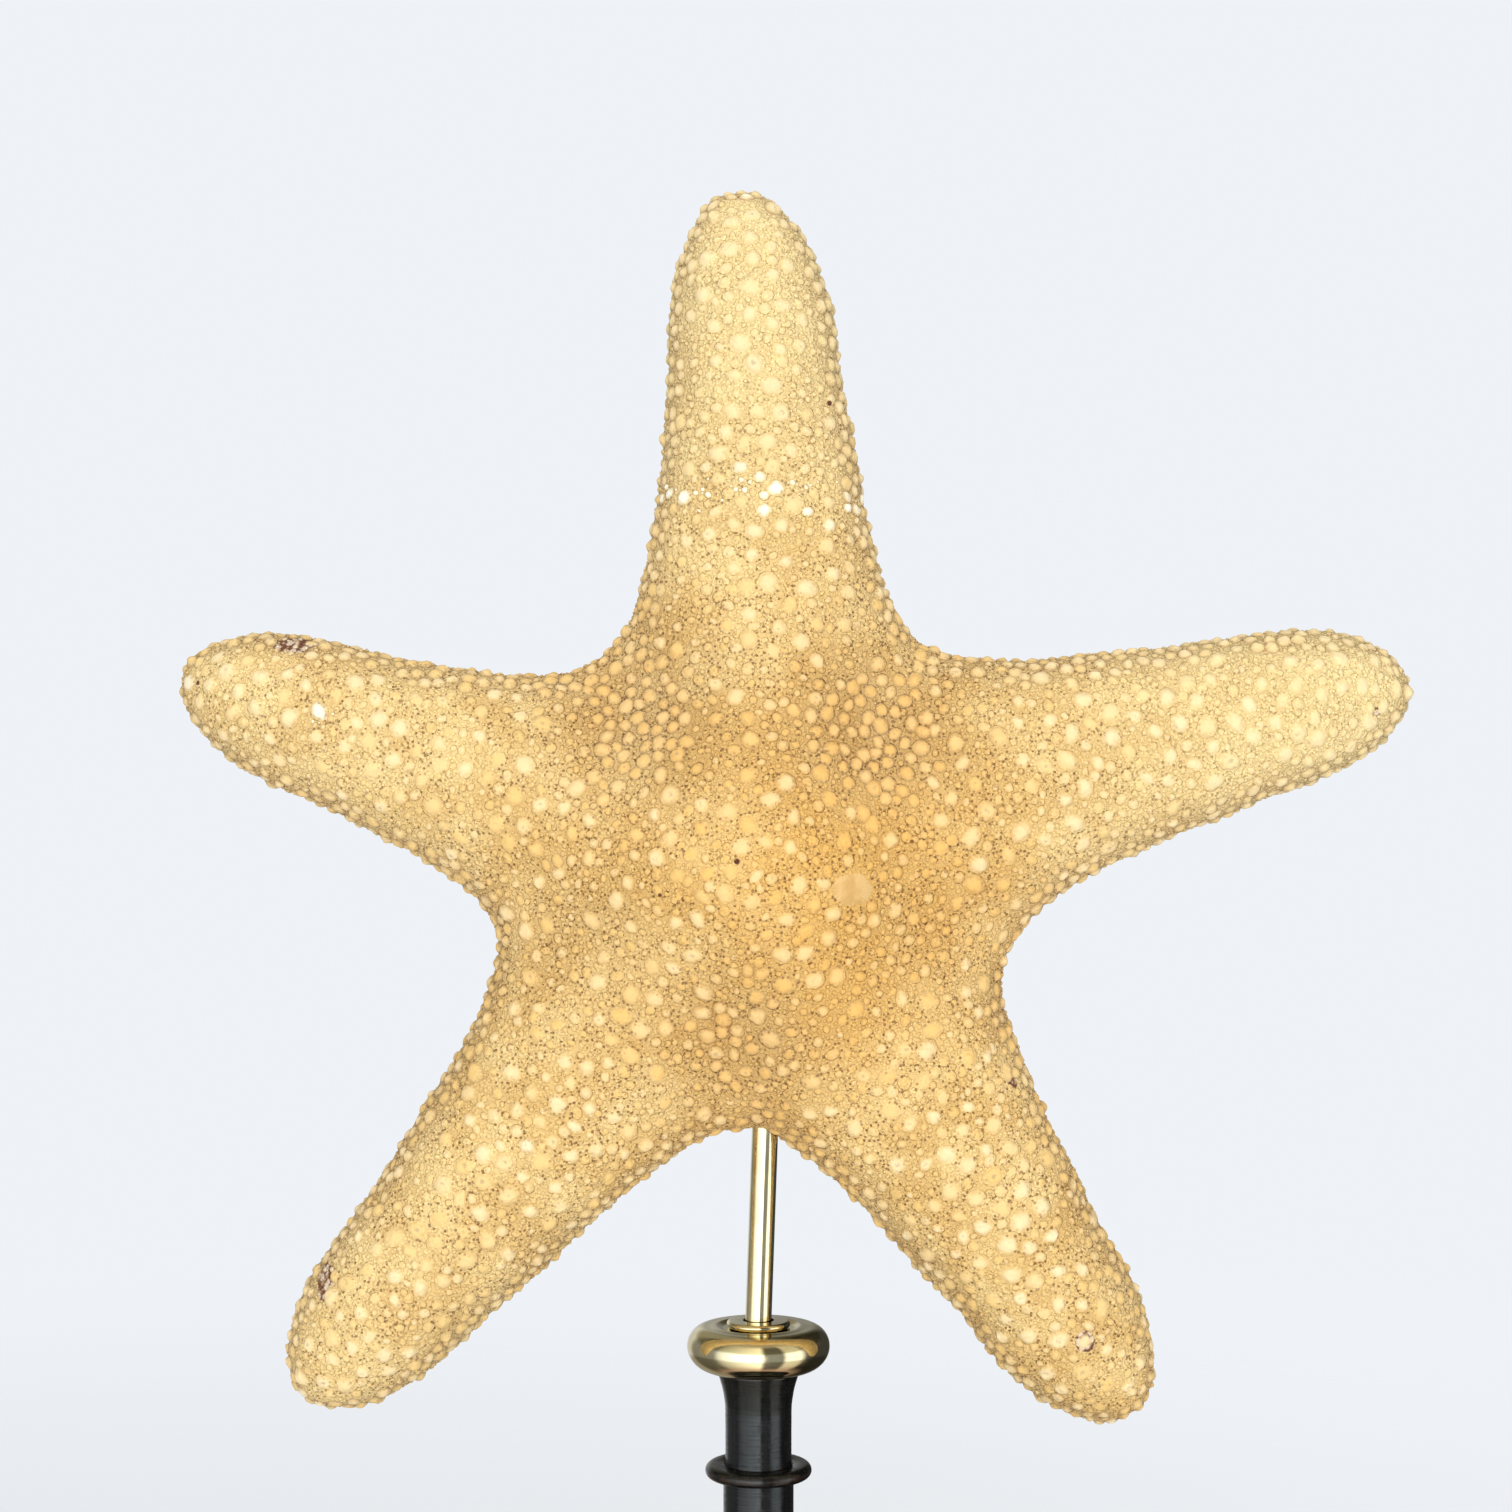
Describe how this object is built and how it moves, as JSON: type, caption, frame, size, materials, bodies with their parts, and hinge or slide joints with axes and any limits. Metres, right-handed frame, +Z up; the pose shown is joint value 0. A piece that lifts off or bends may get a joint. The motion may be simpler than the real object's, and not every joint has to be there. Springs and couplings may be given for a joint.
{
  "type": "dried starfish on stand",
  "caption": "Dried five-armed starfish with a knobbly skin, fixed upright on a leaning brass rod, a brass collar and a black turned wooden stand.",
  "frame": {"origin": "the point where the stem's axis meets the flat underside of the base, which stands on the surface", "axes": "+Z up along the stem's axis; +X to the right as the starfish's knobbly upper face is looked at; that face looks along -Y"},
  "size_m": [0.3004, 0.128, 0.4132],
  "materials": {
    "dried_skin": "matt, dried and knobbly natural skin",
    "brass": "polished, slightly aged",
    "black_wood": "ebonised, satin, turned"
  },
  "bodies": {
    "root": {"starfish": "dried_skin", "rod": "brass", "washer": "brass", "collar": "brass", "stem": "black_wood", "base": "black_wood"}
  },
  "joints": []
}
